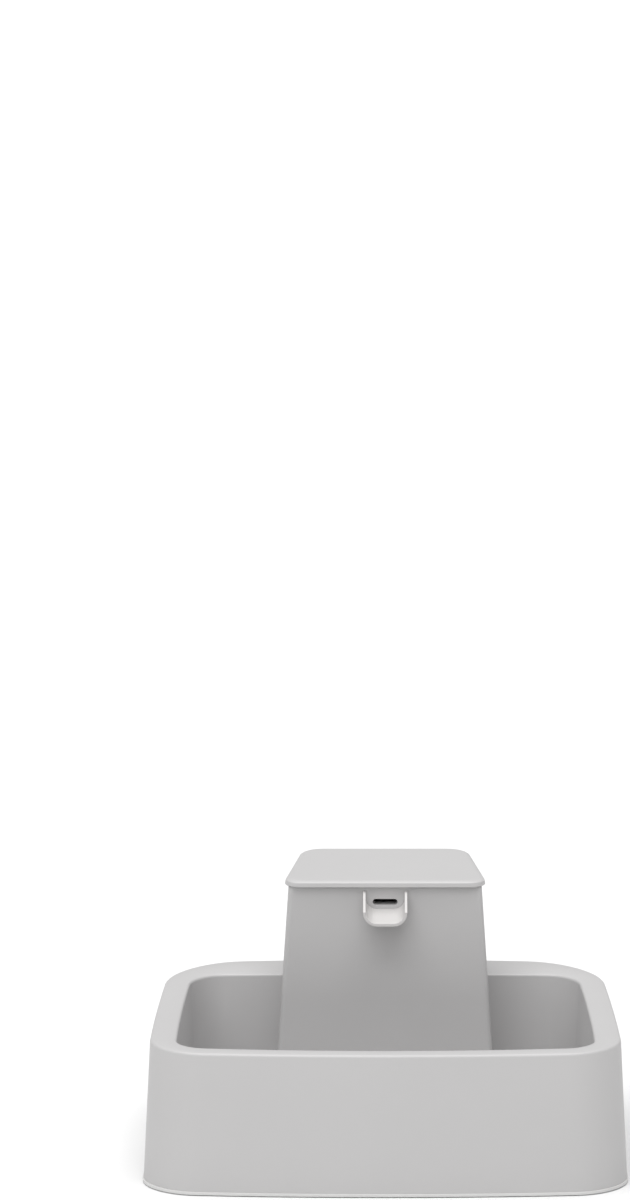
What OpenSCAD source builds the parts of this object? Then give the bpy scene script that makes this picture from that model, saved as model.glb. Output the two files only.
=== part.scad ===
// Pet water fountain: a wide basin, a tower that stands in it over the pump and filter,
// a branched riser with a flow valve, and a lid. Millimetres. X runs along the width,
// Y towards the back and Z up. The origin is on the table under the basin's centre.

/* [Basin] */
// Width over the lip of the base
basin_w = 356; // [348:1:366]
// Depth over the lip of the base
basin_d = 266; // [260:1:274]
// Height of the rim above the table
basin_h = 105; // [100:1:110]
// How far each outer wall leans in from base to rim
basin_lean = 4.5; // [3:0.5:6]
// Radius of the outline's two front corners
corner_front = 40; // [32:1:48]
// Radius of the outline's two rear corners
corner_rear = 58; // [50:1:64]
// Radius of the cavity's rear corners
cavity_rear_r = 26; // [20:1:36]
// Share by which the back is narrower than the front
basin_taper = 0.095; // [0.08:0.005:0.11]
// How far the front and back bulge out between the corners
bulge_front = 9; // [4:1:12]
// How far the two sides bulge out between the corners
bulge_side = 2; // [1:0.5:4]
// Width of the rim at the sides
rim_w = 19.5; // [17:0.5:22]
// Width of the rim at the front
rim_front = 14; // [12:0.5:18]
// Radius of the rim's edges
rim_r = 2; // [1.2:0.1:2.4]
// Thickness of the hollow rear wall at the rim
rear_wall = 40.5; // [38:0.5:43]
// Width of the rim behind the niche
niche_rim = 15.5; // [13:0.5:17]
// Width of the niche in the rear wall
niche_w = 80; // [74:1:84]
// How far each side of the niche closes in from rim to floor
niche_draft = 8; // [6:0.5:10]
// Height of the basin's floor above the table
floor_z = 17; // [16:0.5:18]
// Height of the sump's floor above the table
sump_z = 5.2; // [4.8:0.2:5.6]
// How far the cavity's walls lean in from rim to floor
cavity_draft = 4; // [2:0.5:5]
// Thickness of the moulded walls
wall = 2.5; // [2:0.1:3]
// Height of the two posts above the rim
post_h = 12.6; // [9:0.2:14]
// Diameter of the cord hole in the left post
cord_hole_d = 12.6; // [11:0.2:14]
// Diameter of the drain holes in the rim
drain_d = 4; // [2:0.1:4.4]
// Height of the sloped hump in the niche
hump_h = 58; // [50:1:66]
// Width of the hump at its top
hump_w = 46; // [36:1:50]

/* [Base plate] */
// Thickness of the plate that closes the base
plate_t = 2.3; // [2:0.1:2.6]
// How far the plate's lip stands out past the basin's wall
plate_lip = 0.7; // [0.4:0.1:1]
// Height of the feet below the plate
foot_drop = 0.6; // [0.4:0.1:1]
// Diameter of a rubber foot
foot_d = 16; // [12:1:20]
// Diameter of a base screw's shank
screw_d = 3; // [2.6:0.1:3.4]

/* [Tower] */
// Width of the tower's front at its foot
tower_foot_w = 163; // [160:0.5:166]
// Width of the tower's front at its rim
tower_top_w = 141; // [138:0.5:143]
// Height of the tower
tower_h = 170; // [169:0.5:174]
// Depth of the tower at its rim
tower_top_d = 86; // [85:0.5:87]
// How far the front leans back from foot to rim
front_lean = 11; // [9:0.5:12]
// How much each side closes in per millimetre towards the back
side_taper = 0.158; // [0.15:0.001:0.165]
// Radius of the two front edges
tower_front_r = 3.5; // [2:0.5:5]
// Radius of the two rear edges
tower_rear_r = 12; // [9:0.5:14]
// Thickness of the tower's wall
tower_wall = 2.6; // [2.2:0.1:2.8]
// Width of the lip round the rim
lip_w = 2.9; // [2.4:0.1:3.4]
// Width of the ledge inside the lip
ledge_w = 5.8; // [5:0.1:6.6]
// How far the ledge lies below the lip
ledge_drop = 2; // [1:0.1:3]
// Thickness of the deck under the upper chamber
deck_t = 2.2; // [1.8:0.1:2.4]
// Number of intake slots across the foot
slot_count = 15; // [9:2:17]
// Distance between two intake slots
slot_pitch = 8.26; // [7:0.02:8.4]
// Width of an intake slot
slot_w = 2.7; // [2:0.1:3.4]
// Height of an intake slot
slot_h = 18; // [12:0.5:22]

/* [Spout] */
// Width of the spout
spout_w = 32; // [28:0.5:36]
// How far the spout stands out from the tower
spout_out = 24; // [20:0.5:27]
// Height of the spout's mouth below the rim
spout_drop = 23; // [20:0.5:25]
// Thickness of the spout's walls
spout_wall = 1.9; // [1.5:0.1:2.4]
// Width of the outlet slot in the tower
outlet_w = 18; // [14:0.5:22]

/* [Lid] */
// Thickness of the lid
lid_t = 5; // [4:0.2:6]
// How far the lid stands out past the tower's rim
lid_over = 3.4; // [1:0.2:4]
// How much rounder the lid's front corners are than the tower's
lid_round = 6; // [3:0.5:8]
// Diameter of a lid pin
pin_d = 3; // [2.4:0.1:3.4]
// Length of a lid pin below the ledge
pin_l = 4; // [3:0.5:5]

/* [Pump] */
// Distance of the pump's middle to the right of the filter's axis
pump_x = 2; // [0:0.5:4]
// Length of the black housing
housing_l = 45.6; // [45:0.1:46.2]
// Length of the inlet cover
cover_l = 10.8; // [10.4:0.1:11.4]
// Depth of the pump from front to back
pump_d = 39; // [38:0.5:40]
// Height of the pump's housing
pump_h = 30.3; // [29.5:0.1:30.8]
// Height of the suction cups
cup_h = 4; // [3.4:0.1:4.4]
// Diameter of a suction cup
cup_d = 17.4; // [14:0.2:18]
// Diameter of the rotor magnet
magnet_d = 12.6; // [12:0.1:13]
// Diameter of the impeller
impeller_d = 19.6; // [17:0.1:20.4]
// Diameter of the rotor's shaft
shaft_d = 2; // [1.6:0.1:2.4]
// Distance of the outlet from the pump's middle
outlet_x = 15.5; // [15:0.1:16]
// Distance of the outlet in front of the pump's middle
outlet_front = 4.5; // [4:0.1:5]
// Bore of the pump's outlet
outlet_d = 10.2; // [9.6:0.1:10.8]

/* [Foam] */
// Width of the foam block
foam_w = 85; // [80:1:86]
// Depth of the foam block
foam_d = 56; // [54:0.5:57]
// Height of the foam block
foam_h = 32; // [28:0.5:33]
// Thickness of the foam over the pump
foam_top = 4; // [3:0.2:4.6]

/* [Filter] */
// Outer diameter of the tray
tray_d = 68.6; // [68:0.1:69.4]
// Height of the tray
tray_h = 15; // [13:0.2:16]
// Thickness of the white mouldings
thin = 1.4; // [1.2:0.1:1.5]
// Height of the funnel from its skirt to its shoulder
cone_h = 38; // [36:0.5:40]
// Outer diameter of the funnel's shoulder
shoulder_d = 47.6; // [46:0.2:50]
// Outer diameter of the funnel's neck
neck_d = 20; // [18.6:0.2:22]
// Outer diameter of the funnel's socket
socket_d = 27.3; // [26.6:0.1:28.4]
// Height of the cartridge
cartridge_h = 32; // [29:0.5:33]
// Diameter of the cartridge's body
cartridge_d = 53; // [50:0.5:54]

/* [Riser] */
// Outer diameter of the riser
riser_d = 17.8; // [17.2:0.1:18.6]
// Bore of the riser
riser_bore = 14.8; // [14.2:0.1:15.2]
// Distance of the riser's top below the tower's rim
riser_drop = 19.5; // [18:0.5:21]
// Outer diameter of the collar
collar_d = 22.9; // [22.2:0.1:23.6]
// Height of the collar
collar_h = 10.4; // [9:0.2:11]
// Outer diameter of the branch
branch_d = 15.4; // [14.6:0.1:15.8]
// Bore of the branch
branch_bore = 12.6; // [11.6:0.1:13]
// Distance of the branch's axis below the riser's top
branch_down = 15.6; // [15.2:0.1:16]
// Distance of the drop leg from the riser
leg_x = 52.7; // [52:0.1:53.6]
// Height of the drop leg's end above the basin's floor
leg_gap = 6.1; // [4:0.1:8]

/* [Flow valve] */
// Outer diameter of the valve's ring
valve_d = 22; // [20:0.5:24]
// Hole in the valve's ring
valve_hole = 11.8; // [10:0.1:12]
// Reach of the lever from the riser's axis
lever_l = 36; // [32:0.5:37]
// Rise of the lever's ramp
lever_rise = 14.6; // [11:0.2:15]
// Length of the blade below the ring
blade_l = 27; // [24:0.5:29]

/* [Cord] */
// Diameter of the lead
cord_d = 3.2; // [3:0.1:3.4]
// Mean diameter of the stored coil
coil_d = 36; // [33:1:38]

/* [Clearances] */
// Gap between a piece that lifts out and its seat
seat_gap = 0.3; // [0.2:0.05:0.4]
// Radial gap of a turning fit
turn_gap = 0.1; // [0.05:0.01:0.15]

/* [Hidden] */
$fn = 64;
cut = 1; // how far a cutting shape runs past a face

plate_top = foot_drop + plate_t;
rim_a = basin_w/2 - plate_lip - basin_lean; // half width at the rim
rim_b = basin_d/2 - plate_lip - basin_lean;
base_a = basin_w/2 - plate_lip;
base_b = basin_d/2 - plate_lip;
rear_y = rim_b - rear_wall; // front plane of the rear wall at the rim
niche_y = rim_b - niche_rim;
cavity_a = rim_a - rim_w;
cavity_front = -rim_b + rim_front;
cavity_b = (rear_y - cavity_front)/2;
cavity_y = (rear_y + cavity_front)/2;
cavity_front_r = corner_front - rim_w;
niche_corner = 4;

col_y = rear_y - 29.5; // axis of the filter and riser
pump_y = col_y - 7; // middle of the pump and foam
pump_bottom = sump_z + seat_gap + cup_h;
pump_top = pump_bottom + pump_h;
pump_left = pump_x - (housing_l + cover_l)/2;
port_x = pump_x + outlet_x; // axis of the pump's outlet
cover_x = pump_left + housing_l; // joint between housing and cover
rotor_z = pump_bottom + pump_h/2;
foam_top_z = pump_top + seat_gap + foam_top;
foam_z = foam_top_z - foam_h;
tray_z = foam_top_z + seat_gap;
outlet_y = pump_y - outlet_front;
tray_floor = tray_z + thin;
funnel_z = tray_floor + seat_gap;
funnel_d = tray_d - 2*thin - 2*seat_gap;
skirt_h = 2.5;
shoulder_z = funnel_z + cone_h;
neck_z = shoulder_z + 6;
socket_z = neck_z + 3.5;
socket_floor = socket_z + thin;
socket_top = socket_floor + collar_h + seat_gap;
riser_z = socket_floor + seat_gap;
tower_z = floor_z + seat_gap;
tower_top = tower_z + tower_h;
riser_top = tower_top - riser_drop;
riser_l = riser_top - riser_z;
branch_z = riser_top - branch_down;
leg_z = floor_z + leg_gap;

tower_back = rear_y + 26; // the rear wall's outer face at the rim
back_lean = 4;
tower_front = tower_back - tower_top_d;
deck_z = branch_z + branch_d/2 + 1;
ledge_z = tower_top - ledge_drop;
lid_z = tower_top + seat_gap;
outlet_z = tower_top - 10.9;
post_in = niche_w/2 + 0.4; // the posts' inner faces stand just clear of the niche's sides
hole_x = -(post_in + 9.2);
hole_y = rear_y + 12.5;
post_top = basin_h + post_h;
drain_x = post_in + 24.6;
sump_w = foam_w + 3;
sump_d = foam_d + 3.2;
sump_wall = 2;
feet_at = [for (sx = [-1, 1], sy = [-1, 1]) [sx*(basin_w/2 - 46), sy*(basin_d/2 - 41)]];
screw_x = basin_w/2 - 66;
screw_y = basin_d/2 - 53;
screws_at = [[-screw_x, -screw_y], [screw_x, -screw_y], [0, -screw_y - 4], [-screw_x, screw_y - 20],
    [screw_x, screw_y - 20]];

// ---- shapes that repeat ----

function unit(v) = v/norm(v);
function cross2(u, v) = u[0]*v[1] - u[1]*v[0];

// Arc points round a centre, from angle a0 to a1
function arc(c, r, a0, a1, n) = [for (i = [0:n]) let (a = a0 + (a1 - a0)*i/n)
    [c[0] + r*cos(a), c[1] + r*sin(a)]];

// Outline with its corners rounded, counter-clockwise
function filleted(p, rs, n = 6) = [for (i = [0:len(p) - 1])
    let (q = p[i], u = unit(p[(i + len(p) - 1) % len(p)] - q), v = unit(p[(i + 1) % len(p)] - q),
         h = acos(max(-1, min(1, u*v)))/2, r = rs[i % len(rs)],
         c = q + unit(u + v)*r/sin(h), s = q + u*r/tan(h) - c, e = q + v*r/tan(h) - c,
         a0 = atan2(s[1], s[0]), turn = atan2(cross2(s, e), s*e))
    for (k = [0:n]) [c[0] + r*cos(a0 + turn*k/n), c[1] + r*sin(a0 + turn*k/n)]];

// Points spread along one straight side, for the bulge to bend
function along(p, q, n) = [for (i = [1:n - 1]) p + (q - p)*i/n];

// Rectangle of half sizes a and b, with front corners rounded to rf and rear corners to rr
function rounded(a, b, rf, rr) = concat(
    arc([a - rr, b - rr], rr, 0, 90, 12), along([a - rr, b], [rr - a, b], 10),
    arc([rr - a, b - rr], rr, 90, 180, 12), along([-a, b - rr], [-a, rf - b], 6),
    arc([rf - a, rf - b], rf, 180, 270, 12), along([rf - a, -b], [a - rf, -b], 10),
    arc([a - rf, rf - b], rf, 270, 360, 12), along([a, rf - b], [a, b - rr], 6));

// The same with sides that bulge out between the corners and close in towards the back;
// back is the bulge's share at the back, and y is where the outline's middle goes
function pillow(a, b, rf, rr, back = 1, y = 0) = [for (p = rounded(a, b, rf, rr))
    let (f = p[1] < 0 ? bulge_front : bulge_front*back,
         narrow = 1 - basin_taper*(p[1] + y + rim_b)/(2*rim_b))
    [p[0]*(1 - bulge_side/a*pow(p[1]/b, 2))*narrow, p[1]*(1 - f/b*pow(p[0]/a, 2)) + y]];

function at(outline, z) = [for (p = outline) [p[0], p[1], z]];

// Solid through rings of equal length, lowest first
module loft(rings) {
    n = len(rings[0]);
    m = len(rings);
    polyhedron(points = [for (r = rings) each r], convexity = 8, faces = concat(
        [[for (i = [0:n - 1]) i]],
        [for (k = [0:m - 2], i = [0:n - 1])
            let (j = (i + 1) % n, a = k*n, b = a + n)
            each [[a + i, b + i, b + j], [a + i, b + j, a + j]]],
        [[for (i = [n - 1:-1:0]) (m - 1)*n + i]]));
}

function tangent(p, i) = unit(p[min(i + 1, len(p) - 1)] - p[max(i - 1, 0)]);
function sideways(p, i) = i == 0
    ? unit(cross(tangent(p, 0), abs(tangent(p, 0)[2]) > 0.9 ? [1, 0, 0] : [0, 0, 1]))
    : let (s = sideways(p, i - 1), t = tangent(p, i)) unit(s - t*(s*t));

// Tube swept along a route's points
module swept(route, d, sides = 8) {
    loft([for (i = [0:len(route) - 1])
        let (t = tangent(route, i), s = sideways(route, i), u = cross(s, t))
        [for (k = [0:sides - 1]) let (a = -360*k/sides)
            route[i] + d/2*(cos(a)*s + sin(a)*u)]]);
}

// Stadium-shaped cutter through a wall, lying along Y
module slot_cut(w, h, depth) {
    rotate([90, 0, 0]) linear_extrude(depth, center = true) {
        square([w, h - w], center = true);
        for (s = [-1, 1]) translate([0, s*(h - w)/2]) circle(d = w, $fn = 24);
    }
}

// Path through corners p of the XZ plane, bent to radius bend[i] at corner i
function bent(p, bend, steps = 6) = let (n = len(p) - 1, u = [for (i = [0:n - 1]) unit(p[i + 1] - p[i])])
    [for (i = [0:n]) each (i == 0 || i == n ? [[p[i][0], 0, p[i][1]]]
        : let (turn = atan2(cross2(u[i - 1], u[i]), u[i - 1]*u[i]),
               start = p[i] - u[i - 1]*bend[i]*tan(abs(turn)/2),
               c = start + bend[i]*sign(turn)*[-u[i - 1][1], u[i - 1][0]], s = start - c)
          [for (k = [0:steps]) let (a = turn*k/steps)
              [c[0] + s[0]*cos(a) - s[1]*sin(a), 0, c[1] + s[0]*sin(a) + s[1]*cos(a)]])];

// ---- basin ----

// Steps up a rounded edge of radius r that ends at height z1: [how far in, height]
function edge_steps(z1, r) = r == 0 ? [[0, z1]]
    : [for (a = [0:30:90]) [r*(1 - cos(a)), z1 - r*(1 - sin(a))]];

// The basin's outer shape from z0 to z1, with its upper edge rounded to r
module basin_outer(inset, z0, z1, r = 0) {
    function lean(z) = basin_lean*(z - plate_top)/(basin_h - plate_top) + inset;
    loft([for (s = concat([[0, z0]], edge_steps(z1, r)))
        let (k = lean(s[1]) + s[0], c = inset + s[0])
        at(pillow(base_a - k, base_b - k, corner_front - c, corner_rear - c), s[1])]);
}

// The water's space from z0 to z1; its upper edge flares out to the rim's radius r
module basin_cavity(grow, z0, z1, r = 0) {
    function drawn(z) = cavity_draft*(basin_h - z)/(basin_h - floor_z) - grow;
    loft([for (s = concat([[0, z0]], edge_steps(z1, r))) let (k = drawn(s[1]) - s[0])
        at(pillow(cavity_a - k, cavity_b - k, cavity_front_r - k, cavity_rear_r - k, 0, cavity_y), s[1])]);
}

// Where the niche's sides stand at height z, from its middle
function niche_half(z, grow) = niche_w/2 + grow - niche_draft*(basin_h - z)/(basin_h - floor_z);

module niche_cut(grow, z0, z1) {
    loft([for (z = [z0, z1]) let (w = niche_half(z, grow))
        at(filleted([[-w, rear_y - 20], [w, rear_y - 20], [w, niche_y + grow],
            [-w, niche_y + grow]], [1, 1, niche_corner, niche_corner]), z)]);
}

module sump_cut(grow, z0, z1) {
    a = sump_w/2 + grow;
    b = sump_d/2 + grow;
    translate([0, pump_y, z0]) linear_extrude(z1 - z0)
        polygon(filleted([[-a, -b], [a, -b], [a, b], [-a, b]], [8 + grow]));
}

// Sloped hump against the niche's back wall
module hump(inset, z0, back) {
    foot_y = pump_y + sump_d/2 + 1.2;
    flare = 6;
    top = floor_z + hump_h - inset - 1;
    w = hump_w - 2*inset;
    hull() {
        translate([-w/2, niche_y - 4 + inset, top]) cube([w, 4 - inset + back, 1]);
        translate([-w/2 - flare, foot_y + inset, z0]) cube([w + 2*flare, niche_y + back - foot_y - inset, 1]);
    }
}

// Outline of the right post; its outer side follows the tower's inner wall
function post_outline() = let (g = 2*seat_gap + 0.1,
    x0 = tower_inner_x(rear_y, post_top) - g, x1 = tower_inner_x(rear_y + 24, post_top) - g)
    filleted([[post_in, rear_y], [x0, rear_y], [x1, rear_y + 24], [post_in, rear_y + 24]],
        [1.5, 1.5, tower_rear_r, 1.5]);

module post(z0) {
    translate([0, 0, z0]) linear_extrude(post_top - z0) polygon(post_outline());
}

module basin_tub() color("#bfbebb") difference() {
    union() {
        difference() {
            basin_outer(0, plate_top, basin_h, rim_r);
            basin_cavity(0, floor_z, basin_h + 0.01, rim_r);
            niche_cut(0, floor_z, basin_h + cut);
            sump_cut(0, sump_z, basin_h);
            difference() {
                basin_outer(wall, plate_top - cut, basin_h - wall);
                basin_cavity(wall, floor_z - wall, basin_h);
                niche_cut(wall, floor_z - wall, basin_h);
                sump_cut(sump_wall, sump_z - sump_wall, basin_h);
                for (p = screws_at) translate([p[0], p[1], plate_top]) cylinder(h = floor_z, d = 8);
            }
        }
        hump(0, floor_z - 0.5, 1);
        post(basin_h - wall);
        mirror([1, 0, 0]) post(basin_h - wall);
    }
    hump(wall, floor_z - wall - cut, wall + cut);
    translate([hole_x, hole_y, basin_h - wall - cut]) cylinder(h = post_h + wall + 2*cut, d = cord_hole_d);
    for (s = [-1, 1]) translate([s*drain_x, hole_y + 2.5, basin_h - wall - cut])
        cylinder(h = wall + 2*cut, d = drain_d, $fn = 24);
    for (p = screws_at) translate([p[0], p[1], plate_top - cut])
        cylinder(h = 10 + cut, d = screw_d + 2*turn_gap, $fn = 24);
    translate([hole_x, basin_d/2 - 15, plate_top + 2]) rotate([-90, 0, 0])
        cylinder(h = 30, d = cord_d + 1.2, $fn = 24);
    translate([hole_x - (cord_d + 1.2)/2, basin_d/2 - 15, plate_top - cut]) cube([cord_d + 1.2, 30, 2 + cut]);
}

module base_plate() color("#c9c8c5") difference() {
    translate([0, 0, foot_drop]) linear_extrude(plate_t)
        polygon(pillow(basin_w/2, basin_d/2, corner_front, corner_rear));
    for (p = feet_at) translate([p[0], p[1], foot_drop - cut]) cylinder(h = 1 + cut, d = foot_d + 0.2);
    for (p = screws_at) translate([p[0], p[1], 0]) {
        cylinder(h = plate_top + cut, d = screw_d + 2*turn_gap, $fn = 24);
        cylinder(h = foot_drop + 1.5, d = 2*screw_d + 0.6, $fn = 32);
    }
}

module rubber_feet() color("#3a3a3a")
    for (p = feet_at) translate([p[0], p[1], 0]) {
        cylinder(h = 0.4, d1 = foot_d - 1, d2 = foot_d);
        translate([0, 0, 0.4]) cylinder(h = foot_drop + 0.6, d = foot_d);
    }

module base_screws() color("#b8b8b8")
    for (p = screws_at) translate([p[0], p[1], foot_drop + 0.2]) difference() {
        union() {
            cylinder(h = 1.3, d = 2*screw_d, $fn = 32);
            cylinder(h = plate_t + 7, d = screw_d, $fn = 24);
        }
        for (a = [0, 90]) rotate([0, 0, a]) translate([-1.6, -0.3, -cut]) cube([3.2, 0.6, cut + 0.7]);
    }

// ---- cord ----

grommet_z = post_top - 3; // lower end of the grommet's plug
grommet_top = post_top + 5.5;

module cord_grommet() color("#dcdcda") translate([hole_x, hole_y, grommet_z])
    rotate_extrude() polygon(concat(
        [[cord_d/2, 0], [cord_hole_d/2 - 0.9, 0], [cord_hole_d/2 - 0.3, 2.7],
         [cord_hole_d/2 - 0.3, 3.2], [cord_hole_d/2 + 1.4, 3.2], [cord_hole_d/2 + 1.4, 4.2],
         [cord_hole_d/2 - 0.4, 4.4]],
        [for (a = [15:15:75]) [cord_hole_d/2 - 0.4 - (cord_hole_d/2 - 0.4 - 2.6)*(1 - cos(a)),
            4.4 + 4.1*sin(a)]],
        [[2.6, 8.5], [cord_d/2, 8.5]]));

gland_x = pump_left - 6;
gland_z = pump_bottom + pump_h - 5.8;
gland_y = pump_y + 4;

// From the pump's gland up inside the tower and down into the grommet
climb_from = gland_z + 19; // where the lead starts to climb along the wall
climb_to = grommet_top + 0.4;
climb_bow = [-9.6, -9.2, -8, -6.4, -4.6, -2.8, -1.2]; // how far it bows out on the way
climb_back = [-36.3, -33.8, -31.3, -28.8, -26.3, -23.6, -20.3];
pump_route = concat(
    [for (p = [[0, 0, 0], [-6.3, 0, 0], [-11.3, 0.3, 0.6], [-16.3, 1.2, 2.6], [-20.8, 2.6, 6.4],
        [-24.3, 4.4, 12], [-26.3, 6.4, 19]]) [gland_x, gland_y, gland_z] + p],
    [for (i = [0:6]) [hole_x + climb_bow[i], hole_y + climb_back[i],
        climb_from + (climb_to - climb_from)*(i + 1)/8]],
    [for (p = [[-0.2, -16.6, 0.4], [0.4, -12.4, 7.3], [0.6, -8.2, 11.7], [0.4, -4.4, 13.3],
        [0.2, -1.4, 11.7], [0, -0.2, 7.7], [0, 0, 3.7], [0, 0, 0]]) [hole_x, hole_y, grommet_top] + p]);

module pump_lead() color("#161616") swept(pump_route, cord_d);

exit_z = plate_top + 2;
exit_y = basin_d/2 + 0.5;

// From the grommet down inside the hollow rear wall to the notch at the foot
wall_top = post_top - 11.6; // where the lead leaves the post
wall_low = 30;
wall_route = concat([[hole_x, hole_y, grommet_top - seat_gap]],
    [for (i = [0:7]) [hole_x, hole_y + 2.2*i/7, wall_top - (wall_top - wall_low)*i/7]],
    [for (p = [[2.6, 23.5], [4.4, 17], [8, 11.4], [12.8, 7.4], [18.6, 5.4], [25.2, exit_z]])
        [hole_x, hole_y + p[0], p[1]]],
    [[hole_x, exit_y, exit_z]]);

module wall_lead() color("#161616") swept(wall_route, cord_d);

coil_turn = coil_d/2;
cord_z = cord_d/2;
coil_rows = 4;
coil_cols = 3;
coil_z = 0.8; // the coil rests on its tie, which is this thick
coil_at = [hole_x + coil_turn + (coil_cols - 1)*cord_d/2, exit_y + 36.5];

// Along the table from the notch to the coil, and from the coil to the plug
lead_route = [for (p = [[0, exit_z], [5.5, 4.5], [11.5, 3.3], [17.5, 2.1], [23.5, 1.7],
    [30, 2], [36.5, 2.4]]) [hole_x, exit_y + p[0], p[1]]];
tail_y = coil_turn + cord_d;
tail_route = [for (p = [[0, 0, 12], [6.9, 0, 11.8], [13.9, 0.2, 10.7], [20.9, 0.6, 8.7], [27.9, 1.2, 6.3],
    [34.9, 2, 3.9], [41.9, 3, 2.2], [48.9, 4.2, cord_z], [56.4, 5.2, 1.8], [63.4, 5.8, 2.6],
    [70.4, 5.8, 3.6], [76.4, 5.8, 4.2], [81.4, 5.8, 4.4]])
    [coil_at[0] + p[0], coil_at[1] + tail_y + p[1], p[2]]];
plug_at = tail_route[len(tail_route) - 1];

module supply_cord() color("#161616") {
    swept(lead_route, cord_d);
    swept(tail_route, cord_d);
}

module cord_coil() color("#161616") translate([coil_at[0], coil_at[1], coil_z])
    rotate_extrude() translate([coil_turn - coil_cols*cord_d/2, 0])
        square([coil_cols*cord_d, coil_rows*cord_d]);

module cord_tie() color("#202020")
    translate([coil_at[0], coil_at[1] - coil_turn, coil_z + coil_rows*cord_d/2])
    rotate([0, -90, 0]) linear_extrude(4, center = true) difference() {
        square([coil_rows*cord_d + 2*coil_z, coil_cols*cord_d + 2], center = true);
        square([coil_rows*cord_d + 0.2, coil_cols*cord_d + 0.4], center = true);
    }

module plug_body() color("#161616") translate(plug_at) {
    rotate([0, 90, 0]) cylinder(h = 9, d1 = cord_d + 1.6, d2 = 6.4, $fn = 32);
    translate([8, 0, 0]) rotate([90, 0, 90]) linear_extrude(25)
        polygon(filleted([[-8, -4.2], [8, -4.2], [8, 4.2], [-8, 4.2]], [2]));
}

module plug_shell() color("#b9bbbd") translate(plug_at + [33, 0, 0]) rotate([90, 0, 90])
    linear_extrude(12) difference() {
        square([12, 4.5], center = true);
        square([11.4, 3.9], center = true);
    }

module plug_tongue() color("#e8e8e6") translate(plug_at + [33, -5.6, 0]) cube([11, 11.2, 1.8]);

// ---- pump ----

bore_z = pump_top - 6; // lower end of the outlet's bore
chamber_r = impeller_d/2 + 1.7;
chamber_x = pump_left + 36.5;
well_x = pump_left + 20.9; // closed end of the rotor's well
well_r = magnet_d/2 + 0.25;
well_wall = 1;
chamfer_w = 7;

function pump_side(l) = [[pump_left + chamfer_w, pump_bottom], [pump_left + l, pump_bottom],
    [pump_left + l, pump_top], [pump_left, pump_top], [pump_left, pump_bottom + 10]];

module outlet_bore() {
    translate([port_x, outlet_y, bore_z]) cylinder(h = 10, d = outlet_d);
    translate([port_x, outlet_y, pump_top - 1.2]) cylinder(h = 3, d = outlet_d + 3.6);
}

module rotor_rod(x0, x1, r, sides = 48) {
    translate([x0, pump_y, rotor_z]) rotate([0, 90, 0]) cylinder(h = x1 - x0, r = r, $fn = sides);
}

module pump_housing() color("#1c1c1e") difference() {
    union() {
        difference() {
            translate([0, pump_y + pump_d/2, 0]) rotate([90, 0, 0]) linear_extrude(pump_d)
                polygon(filleted(pump_side(housing_l), [1.5]));
            translate([pump_left + 6.6, pump_y - pump_d/2 - cut, pump_bottom + 2.2])
                cube([28, pump_d - 2 + cut, pump_h - 4.4]);
            translate([pump_left + 4, pump_y - pump_d/2 - cut, pump_bottom + 1.6])
                cube([housing_l - 5.6, cut + 2.4, pump_h - 3.2]);
        }
        rotor_rod(well_x - well_wall, chamber_x + 0.5, well_r + well_wall);
    }
    rotor_rod(well_x, chamber_x + cut, well_r);
    rotor_rod(chamber_x, cover_x + cut, chamber_r);
    outlet_bore();
    translate([pump_left - cut, gland_y, gland_z]) rotate([0, 90, 0]) cylinder(h = 8, d = 5.2);
}

module resin_panel() color("#131314")
    translate([pump_left + 4, pump_y - pump_d/2 + 0.6, pump_bottom + 1.6])
        cube([housing_l - 5.6, 1.8, pump_h - 3.2]);

module inlet_cover() color("#3fb0d0") difference() {
    translate([cover_x, pump_y + pump_d/2, 0]) rotate([90, 0, 0]) linear_extrude(pump_d)
        polygon(filleted([[0, pump_bottom], [cover_l, pump_bottom], [cover_l, pump_top],
            [0, pump_top]], [0.4, 1.6, 1.6, 0.4]));
    rotor_rod(cover_x - cut, cover_x + cover_l - 2, chamber_r);
    outlet_bore();
    for (k = [-2:2]) translate([cover_x + cover_l, pump_y + 4.4*k, rotor_z]) rotate([0, 0, 90])
        slot_cut(2.2, 15 - 2*abs(k), 6);
}

hub_x = chamber_x + 0.6;
blade_count = 6;

module impeller() color("#e9e9e6") difference() {
    union() {
        rotor_rod(hub_x, hub_x + 9.5, 3.4);
        rotor_rod(hub_x, hub_x + 1.2, impeller_d/2 - 1.6);
        for (k = [0:blade_count - 1]) translate([hub_x, pump_y, rotor_z])
            rotate([360/blade_count*k, 0, 0]) translate([0, -0.5, 0]) cube([8.4, 1, impeller_d/2]);
    }
    rotor_rod(hub_x - cut, hub_x + 9.5 + cut, shaft_d/2 + 0.06);
}

module rotor_magnet() color("#2b2b30") difference() {
    rotor_rod(well_x + 2, hub_x, magnet_d/2);
    rotor_rod(well_x, hub_x + cut, shaft_d/2 + 0.06);
}

module impeller_shaft() color("#e4e2da") rotor_rod(well_x + 0.3, cover_x + cover_l - 2.6, shaft_d/2);

// One at the blind end of the well and one on the cover's inner face
module shaft_bushes() color("#2a2a2c") for (x = [well_x, cover_x + cover_l - 3.6]) difference() {
    rotor_rod(x, x + 1.6, 3.1);
    rotor_rod(x - cut, x + 1.6 + cut, shaft_d/2 + 0.02);
}

leg_in = well_r + well_wall + 0.4; // inner face of a core leg from the axis
leg_t = 4.6;

module stator_core() color("#7d7f82") translate([0, 0, rotor_z - 5]) linear_extrude(10) difference() {
    translate([pump_left + 7.2, pump_y - leg_in - leg_t]) square([27, 2*(leg_in + leg_t)]);
    translate([pump_left + 7.2 + 5, pump_y - leg_in]) square([27, 2*leg_in]);
}

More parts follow.
